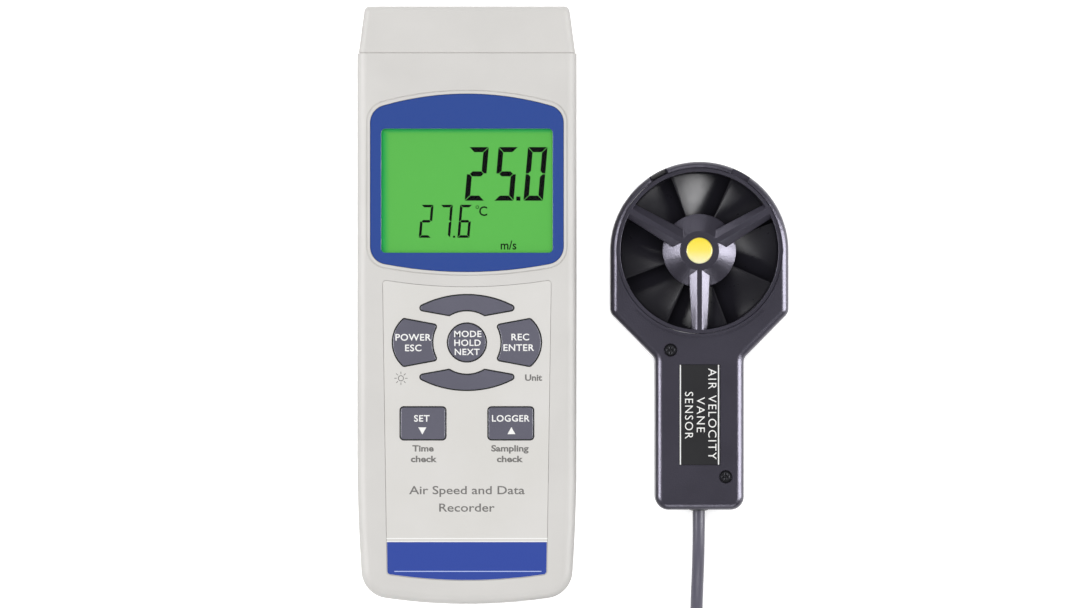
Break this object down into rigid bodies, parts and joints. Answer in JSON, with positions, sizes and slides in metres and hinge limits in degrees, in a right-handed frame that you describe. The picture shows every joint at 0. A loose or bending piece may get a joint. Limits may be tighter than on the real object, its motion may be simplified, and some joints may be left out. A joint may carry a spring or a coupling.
{
  "type": "handheld weather meter",
  "caption": "Handheld air speed and temperature logger with a keypad, a display, a folding stand and a separate rotating vane probe on a coiled cable.",
  "frame": {"origin": "centre of the meter's back, on the surface that the meter and the probe lie on", "axes": "+X to the right of the display, +Y to the meter's socket end, +Z out of the display"},
  "size_m": [0.1468, 0.28, 0.038],
  "materials": {
    "case_plastic": "fine moulded texture",
    "overlay_film": "satin printed film",
    "key_plastic": "satin, dark outline, white legends",
    "window_blue": "glossy, printed from behind",
    "window_clear": "clear",
    "display_green": "lit liquid crystal display",
    "backlight_white": "diffusing",
    "black_plastic": "satin",
    "socket_yellow": "satin",
    "circuit_board": "solder resist",
    "steel": "bright",
    "nickel": "nickel plated",
    "gold_brass": "bright",
    "cell_metal": "plain sleeve",
    "card_plastic": "satin",
    "probe_plastic": "fine moulded texture",
    "label_dark": "printed label",
    "rotor_plastic": "thin moulded blades",
    "cap_yellow": "glossy",
    "bearing_ceramic": "polished jewel",
    "sensor_metal": "bright",
    "cable_jacket": "satin jacket",
    "plug_plastic": "ribbed grip"
  },
  "bodies": {
    "meter": {"front_case": "case_plastic", "back_case": "case_plastic", "top_cap": "case_plastic", "window_bezel": "window_blue", "window_pane": "window_clear", "lcd_glass": "display_green", "backlight": "backlight_white", "lcd_frame": "black_plastic", "keypad_overlay": "overlay_film", "key_switches": "black_plastic", "main_board": "circuit_board", "batteries": "cell_metal", "battery_contacts": "nickel", "kickstand_pin": "steel", "tripod_nut": "gold_brass", "case_screws": "steel", "probe_socket": "black_plastic", "thermocouple_socket": "socket_yellow", "data_jack": "black_plastic", "power_jack": "black_plastic", "card_socket": "steel"},
    "hold_key": {"hold_key": "key_plastic"},
    "power_key": {"power_key": "key_plastic"},
    "record_key": {"record_key": "key_plastic"},
    "upper_key": {"upper_key": "key_plastic"},
    "lower_key": {"lower_key": "key_plastic"},
    "set_key": {"set_key": "key_plastic"},
    "logger_key": {"logger_key": "key_plastic"},
    "kickstand": {"kickstand": "case_plastic"},
    "battery_cover": {"battery_cover": "case_plastic", "cover_screws": "steel"},
    "memory_card": {"memory_card": "card_plastic"},
    "probe": {"probe_front_shell": "probe_plastic", "probe_back_shell": "probe_plastic", "front_guard": "probe_plastic", "rear_guard": "probe_plastic", "hub_cap": "cap_yellow", "rotor_bearings": "bearing_ceramic", "pickup_sensor": "black_plastic", "temperature_sensor": "sensor_metal", "probe_board": "circuit_board", "probe_label": "label_dark", "probe_screws": "steel", "cable_gland": "black_plastic", "cable_lead": "cable_jacket", "cable_coil": "cable_jacket", "cable_tail": "cable_jacket", "coil_tie": "black_plastic", "plug_boot": "cable_jacket", "plug_grip": "plug_plastic", "plug_shell": "nickel", "plug_insert": "black_plastic", "plug_pins": "gold_brass"},
    "vane": {"vane_rotor": "rotor_plastic", "rotor_shaft": "steel", "rotor_magnets": "steel"}
  },
  "joints": [
    {"name": "hold_key_press", "type": "slide", "parent": "meter", "child": "hold_key", "axis": [0, 0, -1], "range_m": [0, 0.0008], "stiffness_N_per_m": 800},
    {"name": "power_key_press", "type": "slide", "parent": "meter", "child": "power_key", "axis": [0, 0, -1], "range_m": [0, 0.0008], "stiffness_N_per_m": 800},
    {"name": "record_key_press", "type": "slide", "parent": "meter", "child": "record_key", "axis": [0, 0, -1], "range_m": [0, 0.0008], "stiffness_N_per_m": 800},
    {"name": "upper_key_press", "type": "slide", "parent": "meter", "child": "upper_key", "axis": [0, 0, -1], "range_m": [0, 0.0008], "stiffness_N_per_m": 800},
    {"name": "lower_key_press", "type": "slide", "parent": "meter", "child": "lower_key", "axis": [0, 0, -1], "range_m": [0, 0.0008], "stiffness_N_per_m": 800},
    {"name": "set_key_press", "type": "slide", "parent": "meter", "child": "set_key", "axis": [0, 0, -1], "range_m": [0, 0.0008], "stiffness_N_per_m": 800},
    {"name": "logger_key_press", "type": "slide", "parent": "meter", "child": "logger_key", "axis": [0, 0, -1], "range_m": [0, 0.0008], "stiffness_N_per_m": 800},
    {"name": "kickstand_hinge", "type": "hinge", "parent": "meter", "child": "kickstand", "pos_m": [0, 0.074, 0.0028], "axis": [1, 0, 0], "range_deg": [0, 60]},
    {"name": "battery_cover_lift", "type": "slide", "parent": "meter", "child": "battery_cover", "axis": [0, 0, -1], "range_m": [0, 0.03]},
    {"name": "memory_card_slide", "type": "slide", "parent": "meter", "child": "memory_card", "axis": [0, -1, 0], "range_m": [0, 0.026]},
    {"name": "probe_lift", "type": "slide", "parent": "meter", "child": "probe", "axis": [0, 0, 1], "range_m": [0, 0.06]},
    {"name": "vane_spin", "type": "hinge", "parent": "probe", "child": "vane", "pos_m": [0.0792, 0.0186, 0.013], "axis": [0, 0, 1], "continuous": true}
  ]
}
